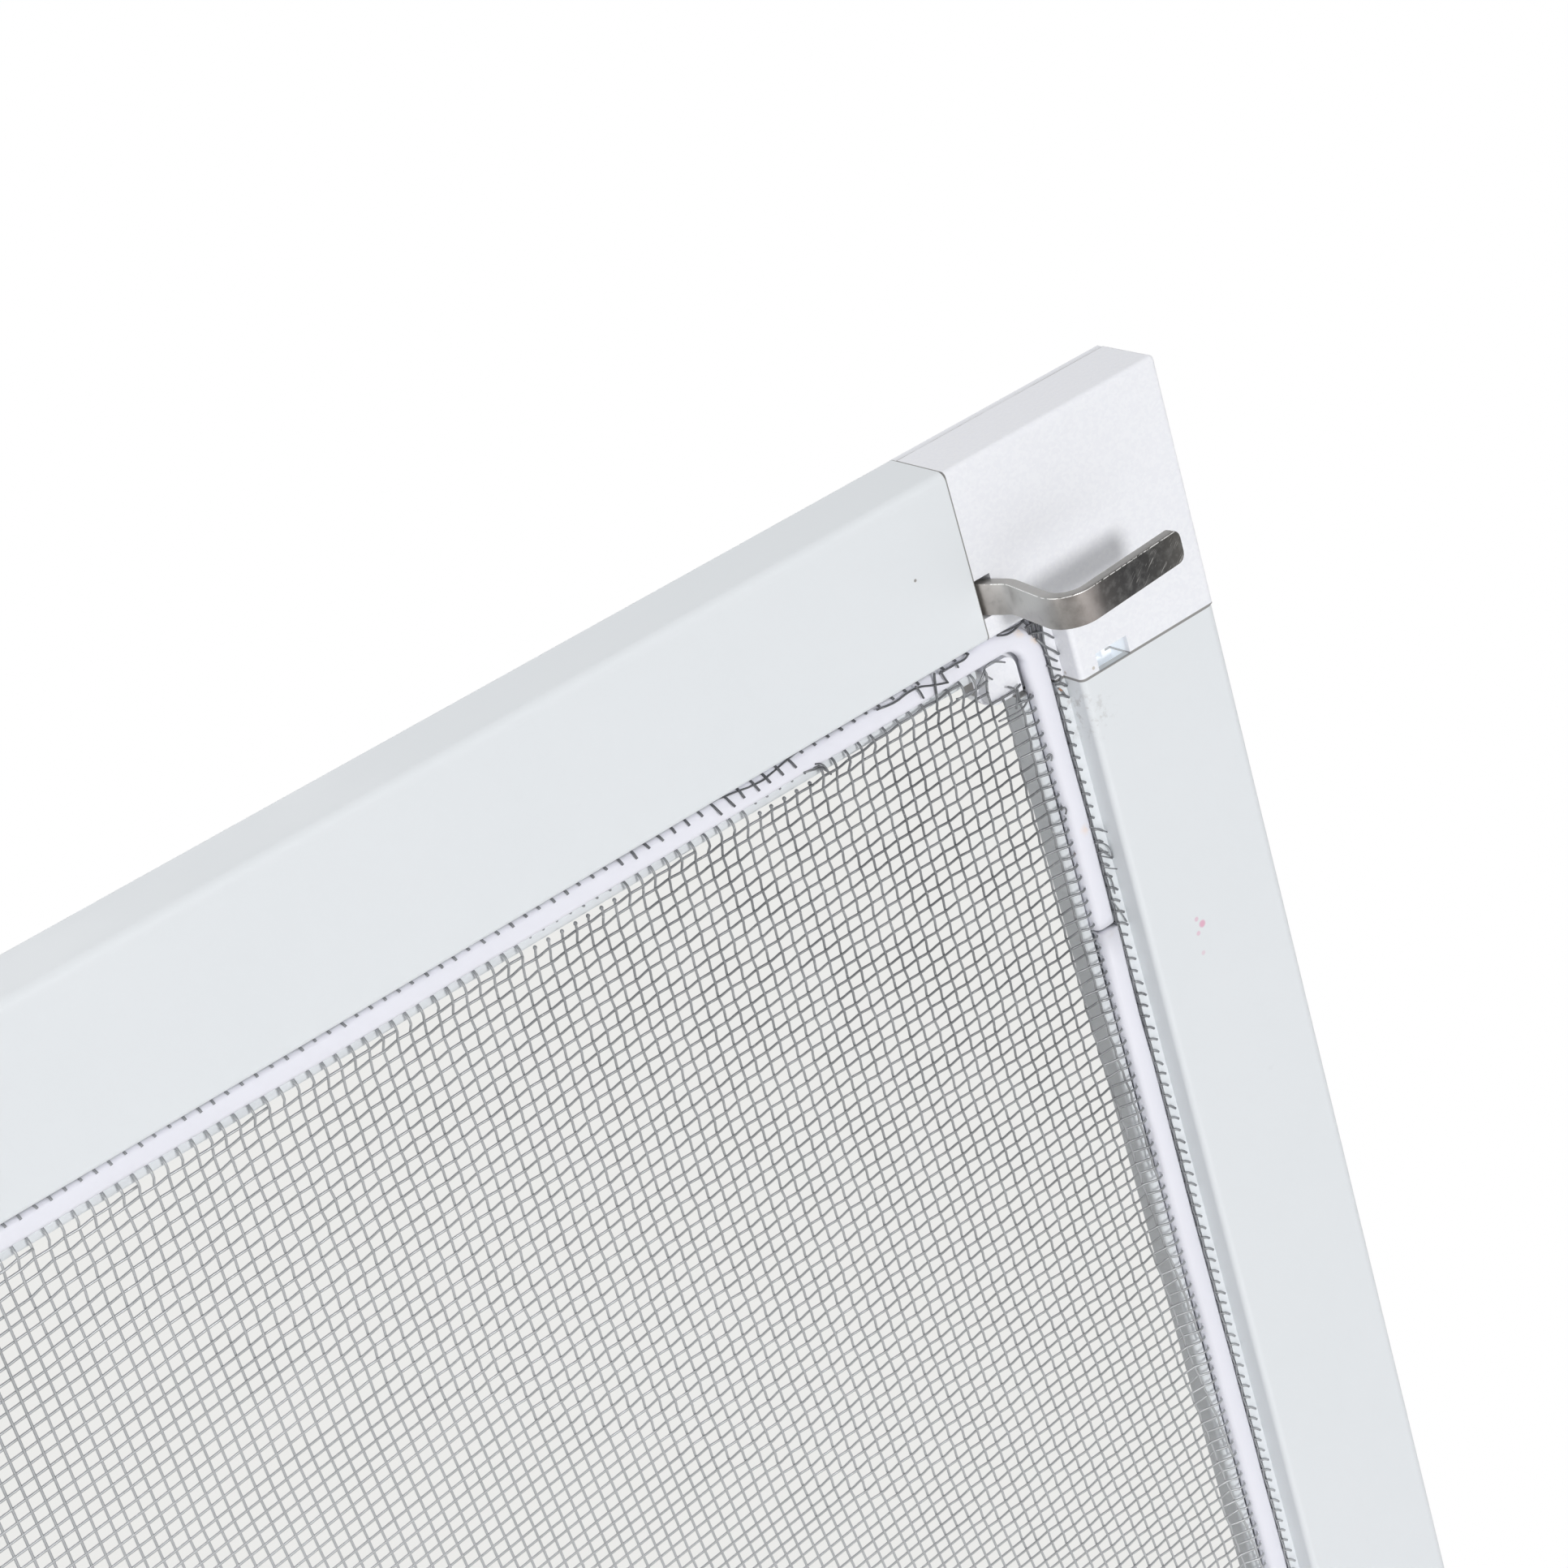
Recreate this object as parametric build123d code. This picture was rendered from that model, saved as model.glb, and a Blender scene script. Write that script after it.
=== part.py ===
from build123d import *
from math import radians, sin, tan
import os

# Window insect screen: an upright frame of hollow rails and moulded corner connectors, with a wire mesh
# held in a channel by a spline, and four bent strip hooks.
#
# Millimetres. X runs along the top rail, Z is up, and Y runs through the thickness. The hooks and the
# spline are on the front, towards -Y. The origin is the centre of the whole model's box.

# Overall frame
frame_width = 500.0
frame_height = 600.0

# Rail section: u runs from the outer edge towards the opening, v from the front face to the back
face_width = 19.0
thickness = 9.0
rail_wall = 1.0
lip_depth = 4.0
lip_width = 1.2
floor_wall = 2.1
ledge_width = 1.2
ledge_depth = 3.0
outer_round = 1.0
inner_round = 0.7
back_round = 0.5
cavity_round = 0.4

# Corner connector
leg_length = 28.75
corner_round = 0.6
upright_corner_round = 0.4
floor_corner_round = 2.6
gusset_setback = 0.5
gusset_end_gap = 0.6
gusset_round = 1.2
groove_corner_round = 1.5
parting_step = 0.15
parting_from_back = 1.15
tongue_length = 24.0
tongue_play = 0.15
tongue_chamfer = 1.0
pocket_inset = 4.0
pocket_depth = 18.0

# Notch that a hook comes out of, one at each joint
notch_from_edge = 12.2
strip_above_play = 0.55
strip_below_play = 0.2
strip_front_play = 1.1
seat_play = 0.05
joint_play = 0.12
notch_end_play = 0.19
slot_end_play = 2.0
notch_rib = 0.5
notch_rib_depth = 1.3
rib_from_notch_edge = 2.4

# Hook, a bent strip
strip_thickness = 1.2
strip_width = 3.6
hidden_leg = 9.0
root_angle = 65.0
root_rise = 2.54
lean_angle = 5.5
hook_reach = 12.1
flag_angle = 5.3
flag_end_from_joint = 17.95
root_bend = 1.4
knee_bend = 3.0
flag_bend = 2.9
tip_round = 0.9

# Spline
spline_diameter = 2.0
spline_centre_depth = 3.8
spline_bend = 3.0
spline_ends_below_top = 58.8
spline_end_gap = 0.6

# Mesh, as a sheet of its woven thickness
mesh_thickness = 0.4
mesh_play = 0.05
mesh_tail_height = 1.2

# Values that follow
half_width = frame_width / 2
half_height = frame_height / 2
mesh_layer = mesh_thickness + 2 * mesh_play
ledge_edge = face_width + ledge_width
lip_inner = ledge_edge + 2 * mesh_layer + spline_diameter
lip_round = lip_width / 3
rail_width = lip_inner + lip_width
groove_depth = spline_centre_depth + spline_diameter / 2 + mesh_layer
floor_back = groove_depth + floor_wall
cavity_inner = face_width - rail_wall
cavity_back = thickness - rail_wall
spline_centre = lip_inner - mesh_layer - spline_diameter / 2
gusset_start = lip_inner + gusset_setback
gusset_end = leg_length - gusset_end_gap
mesh_corner_cut = gusset_start + groove_corner_round
root_half = strip_thickness / 2 / sin(radians(root_angle))
root_from_joint = rail_wall / tan(radians(root_angle)) + root_half + joint_play
notch_length = root_from_joint + root_half + notch_end_play
notch_width = strip_above_play + strip_width + strip_below_play
notch_depth = rail_wall + strip_front_play + strip_thickness + seat_play
slot_length = hidden_leg + slot_end_play
overshoot = 1.0


def near(value, target, tolerance=0.01):
    return abs(value - target) < tolerance


def rail_section(plane):
    """The extrusion's section on a plane whose x is u and whose y is v."""
    outline = [
        (0, 0),
        (face_width, 0),
        (face_width, ledge_depth),
        (ledge_edge, ledge_depth),
        (ledge_edge, groove_depth),
        (lip_inner, groove_depth),
        (lip_inner, lip_depth),
        (rail_width, lip_depth),
        (rail_width, floor_back),
        (face_width, floor_back),
        (face_width, thickness),
        (0, thickness),
    ]
    section = make_face(Polyline(outline, close=True))
    rounds = {
        (0, 0): outer_round,
        (face_width, 0): inner_round,
        (lip_inner, lip_depth): lip_round,
        (rail_width, lip_depth): lip_round,
        (rail_width, floor_back): back_round,
        (face_width, thickness): back_round,
        (0, thickness): back_round,
    }
    for (u, v), radius in rounds.items():
        corner = [p for p in section.vertices() if near(p.X, u) and near(p.Y, v)]
        section = fillet(corner, radius)
    cavity = make_face(
        Polyline(
            [
                (rail_wall, rail_wall),
                (cavity_inner, rail_wall),
                (cavity_inner, cavity_back),
                (rail_wall, cavity_back),
            ],
            close=True,
        )
    )
    cavity = fillet(cavity.vertices(), cavity_round)
    return plane * (section - cavity)


def upright_rail():
    """The right rail, between its two connectors."""
    plane = Plane(
        origin=(half_width, 0, half_height - leg_length), x_dir=(-1, 0, 0), z_dir=(0, 0, -1)
    )
    return extrude(rail_section(plane), frame_height - 2 * leg_length)


def level_rail():
    """The top rail, between its two connectors."""
    plane = Plane(origin=(leg_length - half_width, 0, half_height), x_dir=(0, 0, -1), z_dir=(1, 0, 0))
    return extrude(rail_section(plane), frame_width - 2 * leg_length)


def slab(x_range, v_range, z_range):
    """A box given by its limits."""
    size = [high - low for low, high in (x_range, v_range, z_range)]
    middle = [(high + low) / 2 for low, high in (x_range, v_range, z_range)]
    return Pos(*middle) * Box(*size)


def square_to_edge(low, high, v_range):
    """A slab between two distances from both outer edges, in the corner's own frame."""
    return slab((-high, -low), v_range, (-high, -low))


def round_edge_at(piece, distance, radius):
    """Rounds the through edge that is the same distance from both outer edges."""
    edges = [
        e
        for e in piece.edges().filter_by(Axis.Y)
        if near(e.center().X, -distance) and near(e.center().Z, -distance)
    ]
    return fillet(edges, radius)


def tongue():
    """The tongue that enters the level rail, with its seat for a hook's hidden leg."""
    low = rail_wall + tongue_play
    high = cavity_inner - tongue_play
    end = -leg_length - tongue_length
    bar = slab((end, -leg_length), (low, cavity_back - tongue_play), (-high, -low))
    bar = chamfer(bar.faces().sort_by(Axis.X)[0].edges(), tongue_chamfer)
    pocket = slab(
        (end, end + pocket_depth),
        (low + pocket_inset, cavity_back - tongue_play),
        (-high + pocket_inset, -low - pocket_inset),
    )
    return bar - pocket


def notch():
    """What the level joint's notch and the slot for a hook's hidden leg take away."""
    return slab(
        (-leg_length - slot_length, notch_length - leg_length),
        (-overshoot, notch_depth),
        (-notch_from_edge - notch_width, -notch_from_edge),
    )


def swap_legs(piece):
    """Mirrors a corner's level leg onto its upright leg."""
    return piece.mirror(Plane(origin=(0, 0, 0), z_dir=(1, 0, -1)))


def corner():
    """The top right connector, with its outer corner at the origin."""
    face = make_face(
        Polyline(
            [
                (0, 0),
                (-leg_length, 0),
                (-leg_length, -face_width),
                (-face_width, -face_width),
                (-face_width, -leg_length),
                (0, -leg_length),
            ],
            close=True,
        )
    )
    body = extrude(Plane.XZ * face, -thickness)
    body = round_edge_at(body, 0, upright_corner_round)
    front = [
        e
        for e in body.edges().filter_by_position(Axis.Y, -0.01, 0.01)
        if not near(e.center().X, -leg_length) and not near(e.center().Z, -leg_length)
    ]
    body = fillet(front, corner_round)
    step_v = thickness - parting_from_back
    rim = slab(
        (-parting_step, overshoot),
        (step_v, thickness + overshoot),
        (-leg_length - overshoot, overshoot),
    )
    body -= rim
    body -= swap_legs(rim)

    floor = square_to_edge(face_width - overshoot, leg_length, (groove_depth, floor_back))
    floor = round_edge_at(floor, leg_length, floor_corner_round)
    ledge = square_to_edge(face_width - overshoot, leg_length, (ledge_depth, groove_depth))
    ledge -= square_to_edge(ledge_edge, leg_length + overshoot, (0, thickness))
    block = square_to_edge(gusset_start, gusset_end, (lip_depth, floor_back))
    block = round_edge_at(block, gusset_start, groove_corner_round)
    block = round_edge_at(block, gusset_end, gusset_round)

    body = body + floor + ledge + block
    one_tongue = tongue()
    body = body + one_tongue + swap_legs(one_tongue)
    cut = notch()
    body = body - cut - swap_legs(cut)
    middle = -notch_from_edge - rib_from_notch_edge
    rib = slab(
        (-leg_length + notch_rib, notch_length - leg_length),
        (notch_rib_depth, notch_depth),
        (middle - notch_rib / 2, middle + notch_rib / 2),
    )
    return body + swap_legs(rib)


def hook():
    """The top right hook, in the corner's own frame: a strip swept along its bent centre line."""
    seat_v = notch_depth - seat_play - strip_thickness / 2
    across = 1 / tan(radians(root_angle))
    lean = tan(radians(lean_angle))
    root_x = root_from_joint - leg_length
    inner_x = root_x - seat_v * across
    knee_x = root_x + root_rise * across
    bend_x = knee_x - (hook_reach - root_rise) * lean
    end_x = flag_end_from_joint - leg_length
    end_v = (end_x - bend_x) * tan(radians(flag_angle)) - hook_reach
    z = -notch_from_edge - notch_width + strip_below_play + strip_width / 2
    points = [
        (inner_x - hidden_leg, seat_v, z),
        (inner_x, seat_v, z),
        (knee_x, -root_rise, z),
        (bend_x, -hook_reach, z),
        (end_x, end_v, z),
    ]
    path = FilletPolyline(*points, radius=[root_bend, knee_bend, flag_bend])
    start = Plane(origin=points[0], x_dir=(0, 0, 1), z_dir=(1, 0, 0))
    strip = sweep(start * Rectangle(strip_width, strip_thickness), path=path)
    tip = [
        e
        for e in strip.edges()
        if near(e.length, strip_thickness, strip_thickness / 20) and e.center().X > end_x - overshoot
    ]
    return fillet(tip, tip_round)


def spline():
    """The cord in the channel all round, open where its two ends meet on the right rail."""
    across = half_width - spline_centre
    up = half_height - spline_centre
    meet = half_height - spline_ends_below_top
    v = spline_centre_depth
    points = [
        (across, v, meet - spline_end_gap / 2),
        (across, v, -up),
        (-across, v, -up),
        (-across, v, up),
        (across, v, up),
        (across, v, meet + spline_end_gap / 2),
    ]
    path = FilletPolyline(*points, radius=spline_bend)
    start = Plane(origin=points[0], x_dir=(1, 0, 0), z_dir=(0, 0, -1))
    return sweep(start * Circle(spline_diameter / 2), path=path)


def mesh():
    """The wire cloth as a sheet over the lips, with a fold down each channel and up its outer side."""
    fold_u = lip_inner - mesh_play
    top_v = lip_depth - mesh_play
    floor_v = groove_depth - mesh_play
    tail_u = ledge_edge + mesh_play
    across = half_width - fold_u + mesh_thickness
    up = half_height - fold_u + mesh_thickness
    sheet = slab((-across, across), (top_v - mesh_thickness, top_v), (-up, up))
    corner_x = half_width - mesh_corner_cut
    corner_z = half_height - mesh_corner_cut
    for side_x in (-1, 1):
        for side_z in (-1, 1):
            x_range = sorted((side_x * corner_x, side_x * half_width))
            z_range = sorted((side_z * corner_z, side_z * half_height))
            sheet -= slab(x_range, (0, thickness), z_range)
    fold = Polyline(
        [
            (fold_u, top_v - mesh_thickness),
            (fold_u, floor_v),
            (tail_u, floor_v),
            (tail_u, floor_v - mesh_thickness - mesh_tail_height),
            (tail_u + mesh_thickness, floor_v - mesh_thickness - mesh_tail_height),
            (tail_u + mesh_thickness, floor_v - mesh_thickness),
            (fold_u - mesh_thickness, floor_v - mesh_thickness),
            (fold_u - mesh_thickness, top_v - mesh_thickness),
        ],
        close=True,
    )
    right = Plane(origin=(half_width, 0, corner_z), x_dir=(-1, 0, 0), z_dir=(0, 0, -1))
    top = Plane(origin=(-corner_x, 0, half_height), x_dir=(0, 0, -1), z_dir=(1, 0, 0))
    right_fold = extrude(right * make_face(fold), 2 * corner_z)
    top_fold = extrude(top * make_face(fold), 2 * corner_x)
    cloth = sheet + right_fold + top_fold
    return cloth + right_fold.mirror(Plane.YZ) + top_fold.mirror(Plane.XY)


def four_corners(name, piece):
    """The piece at the top right, mirrored to the other three corners."""
    left = piece.mirror(Plane.YZ)
    return {
        name + "_top_right": piece,
        name + "_top_left": left,
        name + "_bottom_right": piece.mirror(Plane.XY),
        name + "_bottom_left": left.mirror(Plane.XY),
    }


def build():
    to_corner = Pos(half_width, 0, half_height)
    right = upright_rail()
    top = level_rail()
    nodes = {
        "right_rail": right,
        "left_rail": right.mirror(Plane.YZ),
        "top_rail": top,
        "bottom_rail": top.mirror(Plane.XY),
        "spline": spline(),
        "mesh": mesh(),
    }
    nodes.update(four_corners("corner", to_corner * corner()))
    nodes.update(four_corners("hook", to_corner * hook()))
    box = Compound([s for piece in nodes.values() for s in piece.solids()]).bounding_box()
    centre = box.center()
    print("box", box.size, "centre", centre)
    return {name: Pos(-centre.X, -centre.Y, -centre.Z) * piece for name, piece in nodes.items()}


os.makedirs("parts", exist_ok=True)
for node_name, node_piece in build().items():
    export_step(node_piece, f"parts/{node_name}.step")
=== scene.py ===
from math import atan2, cos, pi, radians, sin, sqrt, tan

import bpy
import numpy as np
from mathutils import Euler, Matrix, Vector


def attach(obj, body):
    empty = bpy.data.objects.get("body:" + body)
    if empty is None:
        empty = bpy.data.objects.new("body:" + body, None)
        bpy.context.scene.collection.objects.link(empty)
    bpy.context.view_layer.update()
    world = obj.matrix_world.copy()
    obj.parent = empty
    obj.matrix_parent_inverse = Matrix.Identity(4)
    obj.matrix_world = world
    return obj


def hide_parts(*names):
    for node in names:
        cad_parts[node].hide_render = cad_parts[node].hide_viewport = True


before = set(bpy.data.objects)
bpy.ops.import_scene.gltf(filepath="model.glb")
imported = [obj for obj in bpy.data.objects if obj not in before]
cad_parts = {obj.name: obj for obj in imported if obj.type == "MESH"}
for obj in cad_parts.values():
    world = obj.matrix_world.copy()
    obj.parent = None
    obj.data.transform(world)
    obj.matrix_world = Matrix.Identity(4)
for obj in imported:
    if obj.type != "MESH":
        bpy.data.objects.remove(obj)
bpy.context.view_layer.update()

# Places are worked out in millimetres from the frame's front top right corner: x to the right, v into the
# depth, z up, and u is the distance from the nearest outer edge. All that the photograph shows is near
# that corner.
MM = 0.001
FRONT = 1.6943
WIDTH = 500.0
HEIGHT = 600.0
HALF_WIDTH = WIDTH / 2
HALF_HEIGHT = HEIGHT / 2
JOINT = 28.75
dice = np.random.default_rng(11)


def to_row(points):
    """Corner millimetres, as (x, v, z), to metres in the row frame."""
    moved = np.asarray(points, dtype=float) + (HALF_WIDTH, FRONT, HALF_HEIGHT)
    return moved * MM


def row(x, v, z):
    return Vector(to_row((x, v, z)))


# Material building. A mix node's sockets for colours go by these numbers.
MIX_FACTOR = 0
MIX_FIRST = 6
MIX_SECOND = 7
MIX_RESULT = 2


def new_material(name):
    material = bpy.data.materials.new(name)
    material.use_nodes = True
    tree = material.node_tree
    tree.nodes.clear()
    output = tree.nodes.new("ShaderNodeOutputMaterial")
    shader = tree.nodes.new("ShaderNodeBsdfPrincipled")
    tree.links.new(shader.outputs["BSDF"], output.inputs["Surface"])
    return material, tree, shader


def node(tree, kind, inputs=None, **settings):
    made = tree.nodes.new(kind)
    for key, value in settings.items():
        setattr(made, key, value)
    for key, value in (inputs or {}).items():
        if isinstance(value, bpy.types.NodeSocket):
            tree.links.new(value, made.inputs[key])
        else:
            made.inputs[key].default_value = value
    return made


def math_node(tree, operation, first, second=0.0):
    return node(tree, "ShaderNodeMath", {0: first, 1: second}, operation=operation).outputs[0]


def product(tree, first, *others):
    """All the values multiplied."""
    for other in others:
        first = math_node(tree, "MULTIPLY", first, other)
    return first


def colour_mix(tree, factor, first, second):
    inputs = {MIX_FACTOR: factor, MIX_FIRST: first, MIX_SECOND: second}
    return node(tree, "ShaderNodeMix", inputs, data_type="RGBA").outputs[MIX_RESULT]


def ramp(tree, value, low, high, start=0.0, end=1.0):
    """Goes smoothly from start, where the value is low, to end, where it is high."""
    inputs = {0: value, 1: low, 2: high, 3: start, 4: end}
    return node(tree, "ShaderNodeMapRange", inputs, interpolation_type="SMOOTHSTEP").outputs[0]


def past(tree, distance, low, high, start=0.0, end=1.0):
    """A ramp with its two places in millimetres."""
    return ramp(tree, distance, low * MM, high * MM, start, end)


def between(tree, distance, rise, fall):
    """1 between two soft limits and 0 outside them. Each limit is a pair of places in millimetres."""
    return product(tree, past(tree, distance, *rise), past(tree, distance, *fall, 1.0, 0.0))


def place(tree):
    return node(tree, "ShaderNodeTexCoord").outputs["Object"]


def noise(tree, vector, scale, detail=2.0, roughness=0.5):
    inputs = {"Vector": vector, "Scale": scale, "Detail": detail, "Roughness": roughness}
    return node(tree, "ShaderNodeTexNoise", inputs).outputs["Fac"]


def spot(tree, centre, radius, softness=0.5):
    """1 inside a ball at that place, 0 outside it."""
    inputs = {0: place(tree), 1: tuple(centre)}
    away = node(tree, "ShaderNodeVectorMath", inputs, operation="DISTANCE").outputs["Value"]
    return past(tree, away, radius * (1 - softness), radius, 1.0, 0.0)


def bump(tree, shader, height, strength, distance):
    inputs = {"Height": height, "Strength": strength, "Distance": distance * MM}
    made = node(tree, "ShaderNodeBump", inputs)
    tree.links.new(made.outputs[0], shader.inputs["Normal"])


def rgb(red, green, blue):
    """A colour as it looks on screen, 0 to 255, to the linear values that a shader takes."""
    values = []
    for channel in (red, green, blue):
        share = channel / 255
        values.append(share / 12.92 if share <= 0.04045 else ((share + 0.055) / 1.055) ** 2.4)
    return (*values, 1.0)


def edge_distances(tree):
    """Metres from the side edges, from the top or bottom edge, and into the depth."""
    split = node(tree, "ShaderNodeSeparateXYZ", {0: place(tree)})
    across = math_node(tree, "ABSOLUTE", split.outputs[0])
    up = math_node(tree, "ABSOLUTE", split.outputs[2])
    side = math_node(tree, "SUBTRACT", HALF_WIDTH * MM, across)
    level = math_node(tree, "SUBTRACT", HALF_HEIGHT * MM, up)
    depth = math_node(tree, "SUBTRACT", split.outputs[1], FRONT * MM)
    return side, level, depth


def joint_line(tree):
    """How strongly the hairlines show where rails and corners meet."""
    side, level, _ = edge_distances(tree)
    lines = []
    for distance, half in ((side, LEVEL_JOINT_LINE), (level, UPRIGHT_JOINT_LINE)):
        away = math_node(tree, "ABSOLUTE", math_node(tree, "SUBTRACT", distance, JOINT * MM))
        lines.append(past(tree, away, half * 0.5, half, 1.0, 0.0))
    return product(tree, math_node(tree, "MAXIMUM", *lines), JOINT_LINE_STRENGTH)


def tinted(tree, colour, specks, amount):
    """The colour with soft spots, each given as a place, a radius and a tint."""
    for centre, radius, tint in specks:
        shape = spot(tree, row(*centre), radius)
        colour = colour_mix(tree, product(tree, shape, amount), colour, tint)
    return colour


# Materials. Their limits are in millimetres, from an outer edge or into the depth.
LEVEL_JOINT_LINE = 0.1
UPRIGHT_JOINT_LINE = 0.2
JOINT_LINE_STRENGTH = 0.85
SMUDGE = (-19.0, 2.0, -33.0)
SMUDGE_RADIUS = 5.0
WALL_FROM = (24.3, 24.38)
WALL_DEPTH = (4.2, 4.8)
WALL_DARKENS = (25.0, 70.0)
RAIL_END_SIDES = ((11.8, 12.0), (18.0, 18.2))
RAIL_END_LEVELS = ((28.5, 28.6), (28.9, 29.0))
RAIL_END_DEPTHS = ((0.1, 0.3), (5.5, 6.0))
RAIL_END_PAINTED_GLOW = 0.3
NOTCH_SIDES = ((11.6, 12.1), (17.3, 17.8))
NOTCH_LEVEL = (20.0, 22.0)
NOTCH_DEPTHS = ((0.4, 1.1), (5.5, 6.0))
NOTCH_PAINTED_GLOW = 0.22
PARTING_DEPTH = 7.85
PARTING_HALF = (0.07, 0.14)


def powder_coat():
    material, tree, shader = new_material("powder_coat")
    where = place(tree)
    side, level, depth = edge_distances(tree)
    cloud = noise(tree, where, 35.0, 3.0)
    colour = colour_mix(tree, cloud, rgb(225, 229, 232), rgb(229, 232, 235))
    grime = ramp(tree, noise(tree, where, 260.0, 5.0, 0.65), 0.7, 0.8)
    colour = colour_mix(tree, product(tree, grime, 0.12), colour, rgb(176, 178, 180))
    specks = (
        ((-35.4, 0.0, -8.8), 0.22, rgb(120, 112, 104)),
        ((-11.8, 0.0, -62.4), 0.55, rgb(224, 160, 186)),
        ((-12.4, 0.0, -61.5), 0.35, rgb(224, 190, 206)),
        ((-12.6, 0.0, -63.2), 0.35, rgb(224, 190, 206)),
        ((-12.6, 0.0, -65.7), 0.35, rgb(226, 206, 216)),
    )
    colour = tinted(tree, colour, specks, 0.8)
    grain = ramp(tree, noise(tree, where, 900.0, 4.0, 0.7), 0.5, 0.68)
    smudge = product(tree, spot(tree, row(*SMUDGE), SMUDGE_RADIUS, 1.0), grain, 0.5)
    colour = colour_mix(tree, smudge, colour, rgb(150, 144, 138))
    nearest = math_node(tree, "MINIMUM", side, level)
    shaded_wall = product(
        tree,
        past(tree, nearest, *WALL_FROM),
        past(tree, depth, *WALL_DEPTH),
        past(tree, level, *WALL_DARKENS, 0.2, 0.5),
    )
    colour = colour_mix(tree, shaded_wall, colour, rgb(172, 173, 174))
    colour = colour_mix(tree, joint_line(tree), colour, rgb(116, 114, 110))
    # The rail's end shows in the notch, where it lies in shade; a painted glow lightens it
    rail_end_painted_glow = product(
        tree,
        between(tree, level, *RAIL_END_LEVELS),
        between(tree, side, *RAIL_END_SIDES),
        between(tree, depth, *RAIL_END_DEPTHS),
    )
    shader.inputs["Emission Color"].default_value = rgb(222, 230, 236)
    tree.links.new(product(tree, rail_end_painted_glow, RAIL_END_PAINTED_GLOW), shader.inputs["Emission Strength"])
    tree.links.new(colour, shader.inputs["Base Color"])
    rough = ramp(tree, noise(tree, where, 90.0, 2.0), 0.3, 0.7, 0.52, 0.62)
    tree.links.new(rough, shader.inputs["Roughness"])
    bump(tree, shader, noise(tree, where, 620.0, 2.0, 0.5), 0.14, 0.1)
    return material


def corner_plastic():
    material, tree, shader = new_material("corner_plastic")
    where = place(tree)
    side, level, depth = edge_distances(tree)
    flakes = node(tree, "ShaderNodeTexVoronoi", {"Vector": where, "Scale": 3200.0}).outputs["Color"]
    sparkle = node(tree, "ShaderNodeSeparateColor", {0: flakes}).outputs[0]
    colour = colour_mix(tree, ramp(tree, sparkle, 0.1, 0.95), rgb(238, 239, 244), rgb(242, 243, 247))
    dark = ramp(tree, noise(tree, where, 900.0, 3.0, 0.6), 0.66, 0.76)
    colour = colour_mix(tree, product(tree, dark, 0.06), colour, rgb(190, 190, 196))
    # Painted light: the inside of the notch is painted paler than the plastic
    notch_painted_light = product(
        tree,
        between(tree, depth, *NOTCH_DEPTHS),
        between(tree, side, *NOTCH_SIDES),
        past(tree, level, *NOTCH_LEVEL),
    )
    colour = colour_mix(tree, notch_painted_light, colour, rgb(240, 244, 248))
    off_parting = math_node(tree, "ABSOLUTE", math_node(tree, "SUBTRACT", depth, PARTING_DEPTH * MM))
    parting = past(tree, off_parting, *PARTING_HALF, 0.8, 0.0)
    broken = ramp(tree, noise(tree, where, 260.0, 3.0, 0.6), 0.4, 0.6, 0.25, 1.0)
    colour = colour_mix(tree, product(tree, parting, broken), colour, rgb(168, 166, 164))
    # Painted light: the notch glows, so that its shaded inside looks pale
    tree.links.new(colour, shader.inputs["Emission Color"])
    tree.links.new(product(tree, notch_painted_light, NOTCH_PAINTED_GLOW), shader.inputs["Emission Strength"])
    specks = (
        ((-28.5, 0.3, -16.8), 0.18, rgb(120, 110, 98)),
        ((-27.9, 0.3, -17.8), 0.15, rgb(132, 120, 108)),
        ((-27.4, 0.3, -17.7), 0.12, rgb(150, 138, 124)),
        ((-28.5, 0.3, -18.8), 0.2, rgb(104, 98, 92)),
        ((-27.7, 0.3, -18.6), 0.14, rgb(150, 138, 124)),
        ((-19.2, 2.6, -28.2), 0.35, rgb(176, 158, 146)),
        ((-17.2, 0.0, -28.0), 0.25, rgb(186, 176, 160)),
    )
    colour = tinted(tree, colour, specks, 0.7)
    colour = colour_mix(tree, joint_line(tree), colour, rgb(112, 108, 104))
    tree.links.new(colour, shader.inputs["Base Color"])
    rough = ramp(tree, sparkle, 0.2, 0.9, 0.46, 0.3)
    tree.links.new(rough, shader.inputs["Roughness"])
    bump(tree, shader, noise(tree, where, 1500.0, 2.0), 0.06, 0.05)
    return material


def spline_pvc():
    material, tree, shader = new_material("spline_pvc")
    where = place(tree)
    cloud = noise(tree, where, 60.0, 3.0)
    colour = colour_mix(tree, cloud, rgb(229, 229, 237), rgb(236, 236, 244))
    # Each stain is a place, a radius, a tint and how strongly it shows
    stains = (
        ((-22.8, 2.8, -21.1), 1.3, rgb(246, 214, 176), 0.7),
        ((-21.1, 2.8, -23.0), 1.2, rgb(246, 216, 182), 0.7),
        ((-21.5, 2.8, -46.0), 1.0, rgb(240, 222, 210), 0.6),
        ((-21.8, 2.8, -58.8), 0.8, rgb(226, 222, 222), 0.6),
    )
    for centre, radius, tint, amount in stains:
        grain = ramp(tree, noise(tree, where, 900.0, 3.0), 0.4, 0.6)
        stain = product(tree, spot(tree, row(*centre), radius, 1.0), amount, grain)
        colour = colour_mix(tree, stain, colour, tint)
    dirt = ramp(tree, noise(tree, where, 480.0, 4.0, 0.7), 0.72, 0.82)
    colour = colour_mix(tree, product(tree, dirt, 0.35), colour, rgb(168, 162, 160))
    tree.links.new(colour, shader.inputs["Base Color"])
    shader.inputs["Roughness"].default_value = 0.45
    bump(tree, shader, noise(tree, where, 420.0, 3.0), 0.18, 0.08)
    return material


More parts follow.
